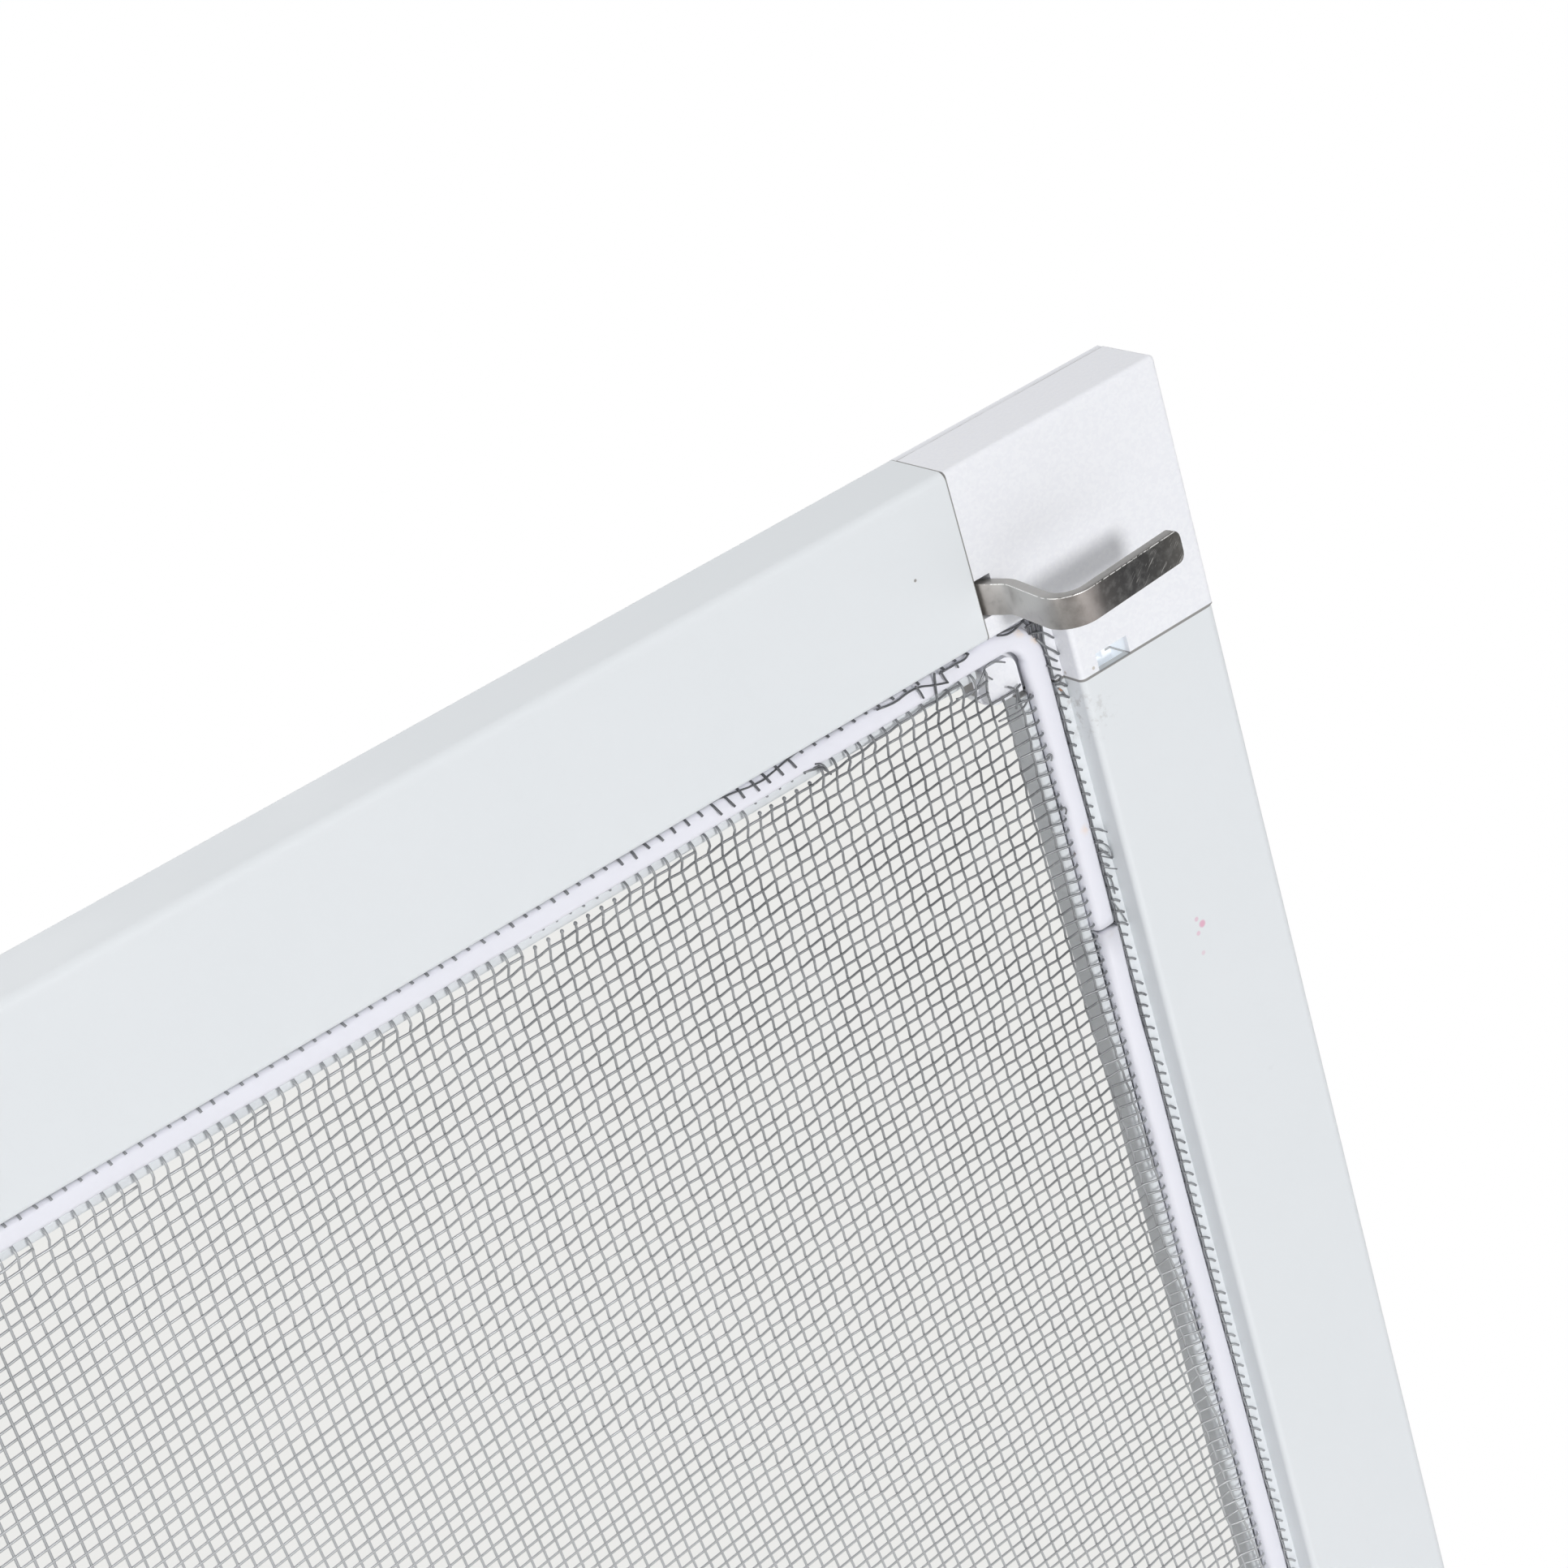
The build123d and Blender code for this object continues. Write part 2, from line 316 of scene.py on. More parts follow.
# Hook strip, as the part has it. HOOK_LEVEL is its middle, and ROOT_END_SIDE and FLAG_FRONT are where the
# flag starts.
HOOK_LEVEL = 14.55
STRIP_WIDTH = 3.6
STRIP_THICKNESS = 1.2
STRIP_EDGE = 0.13
TIP_ROUND = 0.9
ROOT_END_SIDE = 27.2
FLAG_FRONT = 10.6
SCRATCH_ANGLE = 38
SCRATCH_SCALE = (400.0, 400.0, 8000.0)
SCRATCHES_FROM = (6.0, 13.0)
# Distances up the strip's upper long edge, from its middle: its painted highlight and its painted lighter
# side
HIGHLIGHT_EDGE = ((1.64, 1.68), (1.74, 1.77))
LIT_UPPER_SIDE = (1.74, 1.79)


def painted_reflection_bands(tree, travel):
    """The strip's colour by the way along it in millimetres, with 0 where the flag starts. Its bands paint
    the steel's reflections: pale on the root, a bright band round the bend and a dark gradient over the
    flag.
    """
    stops = (
        (-21.0, rgb(172, 167, 163)),
        (-16.0, rgb(190, 188, 185)),
        (-7.0, rgb(202, 201, 199)),
        (-2.0, rgb(184, 182, 180)),
        (0.4, rgb(132, 128, 124)),
        (1.5, rgb(128, 123, 119)),
        (2.6, rgb(168, 161, 157)),
        (3.6, rgb(140, 134, 131)),
        (4.8, rgb(76, 74, 73)),
        (9.0, rgb(58, 58, 59)),
        (13.0, rgb(66, 65, 64)),
        (16.4, rgb(92, 90, 87)),
    )
    first, last = stops[0][0], stops[-1][0]
    share = node(tree, "ShaderNodeMapRange", {0: travel, 1: first * MM, 2: last * MM}).outputs[0]
    bands = node(tree, "ShaderNodeValToRGB", {0: share})
    bands.color_ramp.interpolation = "B_SPLINE"
    elements = bands.color_ramp.elements
    for index, (at, tint) in enumerate(stops):
        position = (at - first) / (last - first)
        element = elements[index] if index < 2 else elements.new(position)
        element.position = position
        element.color = tint
    return bands.outputs[0]


def hook_steel():
    """Bare satin strip steel, scratched on the flag. Its tones along the strip, pale near the frame and dark
    on the flag, are painted reflections; its upper side is painted lighter and its upper edge has a painted
    highlight.
    """
    material, tree, shader = new_material("hook_steel")
    where = place(tree)
    side, level, depth = edge_distances(tree)
    # The way along the strip: along the flag by its side, and back down the root by its depth
    along_flag = math_node(tree, "SUBTRACT", ROOT_END_SIDE * MM, side)
    down_root = math_node(tree, "MAXIMUM", math_node(tree, "ADD", depth, FLAG_FRONT * MM), 0.0)
    travel = math_node(tree, "SUBTRACT", along_flag, product(tree, down_root, 2.0))
    colour = painted_reflection_bands(tree, travel)
    mottle = noise(tree, where, 900.0, 5.0, 0.65)
    colour = colour_mix(tree, ramp(tree, mottle, 0.42, 0.7, 0.0, 0.1), colour, rgb(214, 213, 211))
    colour = colour_mix(tree, ramp(tree, mottle, 0.5, 0.3, 0.0, 0.14), colour, rgb(70, 69, 68))
    turn = (0.0, radians(SCRATCH_ANGLE), 0.0)
    turned = node(tree, "ShaderNodeMapping", {"Vector": where, "Rotation": turn}).outputs[0]
    stretched = node(tree, "ShaderNodeMapping", {"Vector": turned, "Scale": SCRATCH_SCALE}).outputs[0]
    streaks = ramp(tree, noise(tree, stretched, 1.0, 2.0, 0.5), 0.6, 0.65)
    broken = ramp(tree, noise(tree, where, 500.0, 2.0), 0.48, 0.56)
    scratches = product(tree, streaks, broken, past(tree, travel, *SCRATCHES_FROM), 0.42)
    colour = colour_mix(tree, scratches, colour, rgb(216, 214, 210))
    off_middle = math_node(tree, "SUBTRACT", HOOK_LEVEL * MM, level)
    # Painted light: the strip's upper side is painted lighter, as lit from above
    painted_light_side = past(tree, off_middle, *LIT_UPPER_SIDE)
    colour = colour_mix(tree, product(tree, painted_light_side, 0.75), colour, rgb(176, 174, 170))
    # Painted highlight along the strip's upper edge, broken up by noise
    highlight_breaks = ramp(tree, noise(tree, where, 2600.0, 2.0), 0.36, 0.5)
    painted_highlight = product(tree, between(tree, off_middle, *HIGHLIGHT_EDGE), highlight_breaks)
    colour = colour_mix(tree, painted_highlight, colour, rgb(246, 245, 242))
    tree.links.new(colour, shader.inputs["Base Color"])
    shader.inputs["Metallic"].default_value = 0.85
    tree.links.new(ramp(tree, mottle, 0.3, 0.7, 0.3, 0.48), shader.inputs["Roughness"])
    bump(tree, shader, mottle, 0.2, 0.05)
    return material


# Where the wires' colour changes: paler away from the corner, painted light beside the spline, and painted
# shade in the channel and at the top lip
FAR_FROM_CORNER = (70.0, 170.0)
BESIDE_SPLINE_SIDES = ((22.3, 22.5), (23.2, 23.4))
BESIDE_SPLINE_DEPTH = (2.95, 3.15)
CHANNEL_FROM = (20.0, 20.3)
CHANNEL_TO = (21.6, 22.0)
TOP_LIP = (22.3, 22.7)
TOP_LIP_FADES = (66.0, 84.0)
RUST_PLACES = (
    (-23.5, 3.2, -48.2),
    (-23.6, 3.2, -51.2),
    (-23.6, 3.2, -54.2),
    (-20.0, 2.7, -29.6),
)
RUST_RADIUS = 0.38


def wire_steel():
    material, tree, shader = new_material("wire")
    where = place(tree)
    side, level, depth = edge_distances(tree)
    nearest = math_node(tree, "MINIMUM", side, level)
    long_run = noise(tree, where, 240.0, 3.0, 0.6)
    fine = noise(tree, where, 2600.0, 2.0, 0.6)
    colour = colour_mix(tree, ramp(tree, long_run, 0.35, 0.65), rgb(118, 120, 123), rgb(150, 152, 155))
    colour = colour_mix(tree, ramp(tree, fine, 0.6, 0.75, 0.0, 0.5), colour, rgb(206, 208, 209))
    colour = colour_mix(tree, ramp(tree, fine, 0.4, 0.25, 0.0, 0.5), colour, rgb(108, 110, 113))
    paler = past(tree, math_node(tree, "ADD", side, level), *FAR_FROM_CORNER, 0.0, 0.75)
    colour = colour_mix(tree, paler, colour, rgb(192, 194, 196))
    # Painted light: wires in the crevice between spline and lip are painted spline-white, lifting the
    # crevice's shade
    shallow = past(tree, depth, *BESIDE_SPLINE_DEPTH)
    crevice_painted_light = product(tree, between(tree, side, *BESIDE_SPLINE_SIDES), shallow)
    colour = colour_mix(tree, crevice_painted_light, colour, rgb(236, 237, 241))
    # Painted shade: wires in the channel are darkened a little
    channel_shade = product(
        tree,
        past(tree, nearest, *CHANNEL_TO, 0.15, 0.0),
        past(tree, nearest, *CHANNEL_FROM),
    )
    colour = colour_mix(tree, channel_shade, colour, rgb(104, 105, 110))
    # Painted shade: wires in the slit under the top lip are painted dark, less so away from the corner
    top_slit_shade = product(
        tree,
        past(tree, level, *TOP_LIP, 0.6, 0.0),
        past(tree, side, *TOP_LIP_FADES, 1.0, 0.5),
    )
    colour = colour_mix(tree, top_slit_shade, colour, rgb(58, 59, 63))
    for centre in RUST_PLACES:
        rusty = product(tree, spot(tree, row(*centre), RUST_RADIUS), 0.75)
        colour = colour_mix(tree, rusty, colour, rgb(186, 124, 82))
    tree.links.new(colour, shader.inputs["Base Color"])
    shader.inputs["Metallic"].default_value = 0.4
    shader.inputs["Roughness"].default_value = 0.38
    bump(tree, shader, fine, 0.2, 0.03)
    return material


coat = powder_coat()
plastic = corner_plastic()
pvc = spline_pvc()
steel = hook_steel()
wire_material = wire_steel()

CORNERS = ("top_right", "top_left", "bottom_right", "bottom_left")
finishes = {name + "_rail": coat for name in ("top", "bottom", "left", "right")}
finishes.update({"corner_" + name: plastic for name in CORNERS})
finishes.update({"hook_" + name: steel for name in CORNERS})
finishes.update({"spline": pvc, "mesh": wire_material})
for name, finish in finishes.items():
    for material_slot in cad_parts[name].material_slots:
        material_slot.material = finish


# Mesh building


def piece(name, vertices, faces, material, replaced):
    """A finished piece from vertices in corner millimetres, which stands in for a CAD node."""
    data = bpy.data.meshes.new(name)
    data.from_pydata(to_row(vertices).tolist(), [], faces)
    data.validate()
    data.update()
    data.materials.append(material)
    data.shade_smooth()
    made = bpy.data.objects.new(name, data)
    bpy.context.scene.collection.objects.link(made)
    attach(made, "root")
    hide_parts(replaced)
    return made


def tube_faces(rings, sides, start=0):
    """Faces round a row of rings, with both ends closed."""
    faces = []
    for i in range(rings - 1):
        low = start + i * sides
        for k in range(sides):
            after = (k + 1) % sides
            faces.append((low + k, low + after, low + sides + after, low + sides + k))
    last = start + (rings - 1) * sides
    faces.append(tuple(range(start + sides - 1, start - 1, -1)))
    faces.append(tuple(range(last, last + sides)))
    return faces


class Tubes:
    """Gathers the tubes of one piece."""

    def __init__(self):
        self.vertices = []
        self.faces = []

    def add(self, points, radius, sides, steady):
        """A tube along points. steady is a direction that the path never takes, and turns its sides."""
        line = np.asarray(points, dtype=float)
        along = np.gradient(line, axis=0)
        along /= np.linalg.norm(along, axis=1)[:, None]
        steady = np.asarray(steady, dtype=float)
        first = steady - along * (along @ steady)[:, None]
        first /= np.linalg.norm(first, axis=1)[:, None]
        second = np.cross(along, first)
        radii = np.broadcast_to(np.asarray(radius, dtype=float), (len(line),))
        angles = np.arange(sides) * 2 * pi / sides
        ring = first[:, None] * np.cos(angles)[:, None] + second[:, None] * np.sin(angles)[:, None]
        shell = line[:, None] + ring * radii[:, None, None]
        self.faces.extend(tube_faces(len(line), sides, len(self.vertices)))
        self.vertices.extend(shell.reshape(-1, 3).tolist())


# Wire cloth: where the crossings are. The cloth lies a little crooked, as the photograph shows it, and
# runs straight beyond what the photograph shows.
PITCH_X = 1.70
PITCH_Z = 1.475
WIRE_RADIUS = 0.142
UPRIGHT_WEAVE = 0.08
LEVEL_WEAVE = 0.09
CLOTH_DEPTH = 3.72
TILT_X = 0.008
TILT_Z = 0.043
SHOWN_X = 145.0
SHOWN_Z = 125.0
FADE = 25.0
DRIFT_ROUNDS = 30


def held(distance, limit):
    """The distance itself up to a limit, then levelling off smoothly."""
    over = np.maximum(distance - limit, 0)
    return np.minimum(distance, limit) + FADE * np.tanh(over / FADE)


def drift(x, z):
    """How far the cloth's wires stand off an even grid: (upright wires in x, level wires in z).

    The numbers bend the grid as the photograph shows it near the corner.
    """
    a = -held(-x, SHOWN_X) / 100
    b = -held(-z, SHOWN_Z) / 100
    upright = 0.42 + 1.50 * a + 5.91 * b + 3.54 * a * a - 0.41 * a * b + 7.05 * b * b
    level = -0.21 - 1.74 * a - 0.75 * b - 3.75 * a * a + 1.58 * a * b - 1.54 * b * b
    return upright + 100 * TILT_X * b, level + 100 * TILT_Z * a


# The grid reaches outside the frame, so that it still covers it once the drift has moved it
columns = np.arange(-int(WIDTH / PITCH_X) - 8, 6)
rows = np.arange(-int(HEIGHT / PITCH_Z) - 8, 18)
grid_x, grid_z = np.meshgrid(columns * PITCH_X, rows * PITCH_Z, indexing="ij")
node_x = grid_x.copy()
node_z = grid_z.copy()
for _ in range(DRIFT_ROUNDS):
    shift_x, shift_z = drift(node_x, node_z)
    node_x = grid_x + shift_x
    node_z = grid_z + shift_z


# How many crossings a ripple is smoothed over, and how far it moves them
FINE_RIPPLE = (1, 0.035)
BROAD_RIPPLE = (12, 0.05)


def ripple(size, reach, amount):
    """Smooth uneven values over the cloth."""
    values = dice.normal(size=size)
    for _ in range(reach):
        neighbours = [np.roll(values, step, axis) for step in (1, -1) for axis in (0, 1)]
        values = (values + sum(neighbours)) / 5
    return values / values.std() * amount


for crossings in (node_x, node_z):
    crossings += ripple(node_x.shape, *FINE_RIPPLE) + ripple(node_x.shape, *BROAD_RIPPLE)

# The woven part is the triangle that the photograph's view takes in. Beyond it the wires are straight.
WOVEN_X = 172.0
WOVEN_Z = 176.0
woven = (-node_x / WOVEN_X - node_z / WOVEN_Z) < 1.0
over_under = np.where((columns[:, None] + rows[None, :]) % 2 == 0, 1.0, -1.0)

# The cloth rises over the lips, and its corners are cut away over the corner connectors' pads.
RISE = 0.75
RISE_AT = 24.2
RISE_INWARD = 0.9
RISE_OUTWARD = 1.6
RUN_EDGE = 24.7
SIDE_EDGE = 24.0
LIP_EDGE = 23.2
NEAR_CORNER = 47.0
CUT_SIDE = 27.4
CUT_LEVEL = 26.1
FREE_LEVEL = 27.6
side_edge = np.minimum(-node_x, WIDTH + node_x)
level_edge = np.minimum(-node_z, HEIGHT + node_z)
nearest_edge = np.minimum(side_edge, level_edge)
inward = np.exp(-(((nearest_edge - RISE_AT) / RISE_INWARD) ** 2))
outward_rise = 1 - ((nearest_edge - RISE_AT) / RISE_OUTWARD) ** 2
rise = RISE * np.where(nearest_edge > RISE_AT, inward, np.maximum(outward_rise, 0))
node_v = CLOTH_DEPTH - rise
cut_away = (side_edge < CUT_SIDE) & (level_edge < CUT_LEVEL)
kept_upright = (level_edge > RUN_EDGE) & (side_edge > SIDE_EDGE) & ~cut_away
over_lip = np.where(side_edge < NEAR_CORNER, LIP_EDGE, SIDE_EDGE)
kept_level = (side_edge > RUN_EDGE) & (level_edge > over_lip) & ~cut_away

# A wire's way in the channel, from the slit beside the ledge, under the spline and up over the lip: (u, v)
SLIT = 20.42
IN_CHANNEL = (
    (SLIT, 3.05),
    (SLIT, 4.3),
    (20.50, 4.88),
    (20.80, 5.06),
    (22.50, 5.07),
    (22.86, 4.86),
    (22.96, 4.35),
    (22.99, 3.85),
)
OVER_LIP = (
    (23.12, 3.40),
    (23.40, 3.10),
    (23.80, 2.95),
    (24.30, 2.96),
)


# Where cut ends start, and how far they reach and rise for their length
CUT_DEPTH = 2.95
CUT_REACH = 0.78
CUT_RISE = 0.5
LEDGE_START = 19.2
LEDGE_END = 20.35
LEDGE_CUT_DEPTH = 2.83
LEDGE_CUT_RISE = 0.22


def over_spline(length, lean):
    """A cut end that stands out of the slit and leans over the spline, from its tip: (u, aside, v)."""
    shares = (1.0, 0.6, 0.25) if length else ()
    return [
        (SLIT + CUT_REACH * length * s, lean * length * s, CUT_DEPTH - CUT_RISE * length * s) for s in shares
    ]


def over_ledge(length, sag):
    """A cut end that lies over the ledge towards the rail, from its tip: (u, aside, v)."""
    way = []
    for share in (1.0, 0.7, 0.4, 0.1):
        u = max(LEDGE_START, LEDGE_END - length * share)
        bent = length * share * share
        way.append((u, -sag * bent, LEDGE_CUT_DEPTH - LEDGE_CUT_RISE * bent))
    return way


def channel_end(across, stroke, proud):
    """The whole end of a wire, from the tip of its cut end to the lip's top, as (u, across, v)."""
    way = [(u, across + aside, v) for u, aside, v in stroke]
    way += [(u, across, v) for u, v in IN_CHANNEL]
    way += [(u, across, v - proud) for u, v in OVER_LIP]
    return way


# Cut ends along the top rail and down the right rail. The wires nearest the corner have none at the top, one
# lies over the spline, and two stretches are torn. Each cut is (its far end, shortest, longest).
SHORT_FROM = -29.4
OVER_SPAN = (-36.1, -34.3)
TORN_SPANS = ((-86.5, -76.4), (-59.9, -50.7))
TOP_CUTS = ((-53.5, 0.2, 0.45), (-64.5, 1.2, 1.6), (-76.0, 0.5, 1.0), (-WIDTH, 0.25, 0.55))
RIGHT_CUTS = ((-30.5, 0.85, 1.25), (-46.5, 0.3, 0.55), (-HEIGHT, 0.5, 0.9))


def cut_length(at, cuts):
    """A random length for the cut end at that place."""
    shortest, longest = next((low, high) for far_end, low, high in cuts if at > far_end)
    return dice.uniform(shortest, longest)


def top_end(x):
    """How an upright wire ends at the top rail: (kind, length of its cut end)."""
    if x > SHORT_FROM:
        return "short", 0.0
    if OVER_SPAN[0] < x < OVER_SPAN[1]:
        return "over", 0.0
    torn = any(low < x < high for low, high in TORN_SPANS)
    return ("torn" if torn else "whole"), cut_length(x, TOP_CUTS)


# The way over the spline, and of a short end, as (u, v), and the thick broken end of a torn wire
WAY_OVER_SPLINE = ((20.2, 2.35), (20.9, 2.45), (21.9, 2.55), (22.9, 2.6), (23.7, 2.75), (24.3, 2.95))
LEAN_OVER_SPLINE = 0.12
SPLINE_MIDDLE = 22.0
SHORT_WAY = ((23.35, 3.3), (23.8, 3.05))
KNOB = (0.1, 0.21, 0.24, 0.15)
KNOB_START = 24.0
KNOB_STEP = 0.12
KNOB_DEPTH = 3.2
# A wire that comes this many pitches close to a channel is led into it
CHANNEL_CATCH = 1.1
# Each wire goes in a set by its distance from the corner
SET_LIMITS = (62.0, 165.0)
upright_sets = [Tubes() for _ in range(3)]
level_sets = [Tubes() for _ in range(3)]
WOVEN_SIDES = 5
PLAIN_SIDES = 4
PLAIN_STEP = 24
FINE_REACH = 105.0


def middle_points(along, across, depth, weave, is_woven):
    """A wire's centre line over the cloth, with a point at each crossing and between where it is woven."""
    points = []
    count = len(along)
    for k in range(count):
        if is_woven[k]:
            points.append((along[k], across[k], depth[k] - weave[k]))
            if k + 1 == count or not is_woven[k + 1]:
                continue
            shares = (0.25, 0.5, 0.75) if along[k] < FINE_REACH and abs(across[k]) < FINE_REACH else (0.5,)
            for share in shares:
                between = [pair[k] + (pair[k + 1] - pair[k]) * share for pair in (along, across, depth)]
                between[2] -= weave[k] * cos(pi * share)
                points.append(between)
        elif k % PLAIN_STEP == 0 or k == count - 1:
            points.append((along[k], across[k], depth[k]))
    return points


def runs(kept):
    """The unbroken stretches of the kept crossings."""
    index = np.flatnonzero(kept)
    if len(index) < 2:
        return []
    parts = np.split(index, np.flatnonzero(np.diff(index) > 1) + 1)
    return [part for part in parts if len(part) > 1]


def upright_place(point):
    along, across, v = point
    return across, v, -along


def level_place(point):
    along, across, v = point
    return -along, v, across


# A direction that upright wires, level wires and flat strands never take
UPRIGHT_STEADY = (1, 0, 0)
LEVEL_STEADY = (0, 0, 1)
DEPTH_STEADY = (0, 1, 0)


def add_wire(tubes, points, to_place, is_woven, steady):
    sides = WOVEN_SIDES if is_woven else PLAIN_SIDES
    tubes.add([to_place(point) for point in points], WIRE_RADIUS, sides, steady)


def chosen_set(sets, distance):
    return sets[sum(distance >= limit for limit in SET_LIMITS)]


def top_way(tubes, x, points):
    """An upright wire's points with its end at the top rail. A torn wire leaves a second tube there."""
    kind, length = top_end(x)
    proud = dice.uniform(-0.08, 0.14)
    end = channel_end(x, over_spline(length, dice.uniform(0.05, 0.3)), proud)
    if kind == "whole":
        return end + points
    if kind == "over":
        return [(u, x + LEAN_OVER_SPLINE * (SPLINE_MIDDLE - u), v) for u, v in WAY_OVER_SPLINE] + points
    if kind == "short":
        return [(u, x, v) for u, v in SHORT_WAY] + points
    broken = end[: -len(OVER_LIP) + 1]
    add_wire(tubes, broken, upright_place, True, UPRIGHT_STEADY)
    stump = [(KNOB_START + KNOB_STEP * k, x, KNOB_DEPTH) for k in range(len(KNOB))]
    tubes.add([upright_place(point) for point in stump], KNOB, WOVEN_SIDES + 1, UPRIGHT_STEADY)
    return [(24.2, x, 3.15)] + points


def right_way(z, points):
    """A level wire's points with its end at the right rail. Near the corner it ends free over the pad."""
    if -z < FREE_LEVEL:
        return [(24.2, z + 0.3, 3.45), (24.8, z + 0.12, 3.4)] + points
    length = cut_length(z, RIGHT_CUTS)
    sag = dice.uniform(0.5, 0.9)
    return channel_end(z, over_ledge(length, sag), dice.uniform(-0.08, 0.1)) + points


def add_uprights():
    for i in range(len(columns)):
        order = np.argsort(-node_z[i])
        along, across, depth = -node_z[i][order], node_x[i][order], node_v[i][order]
        weave, is_woven = over_under[i][order] * UPRIGHT_WEAVE, woven[i][order]
        for run in runs(kept_upright[i][order]):
            points = middle_points(along[run], across[run], depth[run], weave[run], is_woven[run])
            x = across[run[0]]
            tubes = chosen_set(upright_sets, -x)
            clear_of_cut = min(-x, WIDTH + x) > CUT_SIDE
            if along[run[0]] < RUN_EDGE + CHANNEL_CATCH * PITCH_Z and clear_of_cut:
                points = top_way(tubes, x, points)
            if along[run[-1]] > HEIGHT - RUN_EDGE - CHANNEL_CATCH * PITCH_Z and clear_of_cut:
                end = channel_end(across[run[-1]], over_spline(dice.uniform(0.2, 0.6), 0.1), 0.0)
                points = points + [(HEIGHT - u, aside, v) for u, aside, v in end[::-1]]
            add_wire(tubes, points, upright_place, bool(is_woven[run[0]]), UPRIGHT_STEADY)


def add_levels():
    for j in range(len(rows)):
        order = np.argsort(-node_x[:, j])
        along, across, depth = -node_x[:, j][order], node_z[:, j][order], node_v[:, j][order]
        weave, is_woven = -over_under[:, j][order] * LEVEL_WEAVE, woven[:, j][order]
        for run in runs(kept_level[:, j][order]):
            points = middle_points(along[run], across[run], depth[run], weave[run], is_woven[run])
            z = across[run[0]]
            tubes = chosen_set(level_sets, -z)
            clear_of_cut = min(-z, HEIGHT + z) > CUT_LEVEL
            if along[run[0]] < RUN_EDGE + CHANNEL_CATCH * PITCH_X and clear_of_cut:
                points = right_way(z, points)
            if along[run[-1]] > WIDTH - RUN_EDGE - CHANNEL_CATCH * PITCH_X and clear_of_cut:
                end = channel_end(across[run[-1]], over_ledge(dice.uniform(0.4, 0.8), 0.6), 0.0)
                points = points + [(WIDTH - u, aside, v) for u, aside, v in end[::-1]]
            add_wire(tubes, points, level_place, bool(is_woven[run[0]]), LEVEL_STEADY)


add_uprights()
add_levels()


# Wires that run along the channels, under and over the cut ends
EDGE_START = 30.0
EDGE_RADIUS = 0.1
EDGE_PLAIN_STEP = 40
EDGE_WEAVE_OUT = 0.04
EDGE_WEAVE_DEEP = 0.1
RIGHT_EDGE_DEPTH = 3.1
TOP_EDGE_DEPTH = 3.3
TOP_EDGE = 20.36
RIGHT_EDGE_SHOWN = 165.0
TOP_EDGE_SHOWN = 155.0
# Where the top wire is pulled out of the slit, over the spline
PULLED_AT = 57.5
PULLED_REACH = 3.5
PULLED_OUT = 0.55
PULLED_UP = 1.2


def wavy(length, shown, pitch):
    """Distances along an edge wire and its weave: in full where it is shown, then straight."""
    count = int((shown - EDGE_START) / pitch)
    places = [EDGE_START + pitch * k for k in range(count)]
    weave = [1 if k % 2 else -1 for k in range(count)]
    while places[-1] < length - EDGE_START - EDGE_PLAIN_STEP:
        places.append(places[-1] + EDGE_PLAIN_STEP)
        weave.append(0)
    places.append(length - EDGE_START)
    weave.append(0)
    return places, weave


def edge_wires():
    places, weave = wavy(HEIGHT, RIGHT_EDGE_SHOWN, PITCH_Z)
    right = []
    for p, w in zip(places, weave):
        right.append((-SLIT - w * EDGE_WEAVE_OUT, RIGHT_EDGE_DEPTH + w * EDGE_WEAVE_DEEP, -p))
    left = [(-WIDTH - x, depth, z) for x, depth, z in right]
    upright_sets[0].add(right, EDGE_RADIUS, WOVEN_SIDES, DEPTH_STEADY)
    upright_sets[2].add(left, EDGE_RADIUS, WOVEN_SIDES, DEPTH_STEADY)
    places, weave = wavy(WIDTH, TOP_EDGE_SHOWN, PITCH_X)
    top = []
    for p, w in zip(places, weave):
        pulled = PULLED_OUT * np.exp(-(((p - PULLED_AT) / PULLED_REACH) ** 2))
        depth = TOP_EDGE_DEPTH + w * EDGE_WEAVE_DEEP - PULLED_UP * pulled
        top.append((-p, depth, -(TOP_EDGE + w * EDGE_WEAVE_OUT + pulled)))
    bottom = [(x, depth, -HEIGHT - z) for x, depth, z in top]
    level_sets[0].add(top, EDGE_RADIUS, WOVEN_SIDES, DEPTH_STEADY)
    level_sets[2].add(bottom, EDGE_RADIUS, WOVEN_SIDES, DEPTH_STEADY)


edge_wires()


def eased(points, rounds=2):
    """The path with its corners cut, ends kept."""
    line = np.asarray(points, dtype=float)
    for _ in range(rounds):
        before = line[:-1] * 0.75 + line[1:] * 0.25
        after = line[:-1] * 0.25 + line[1:] * 0.75
        between = np.stack([before, after], axis=1).reshape(-1, 3)
        line = np.concatenate([line[:1], between[1:-1], line[-1:]])
    return line


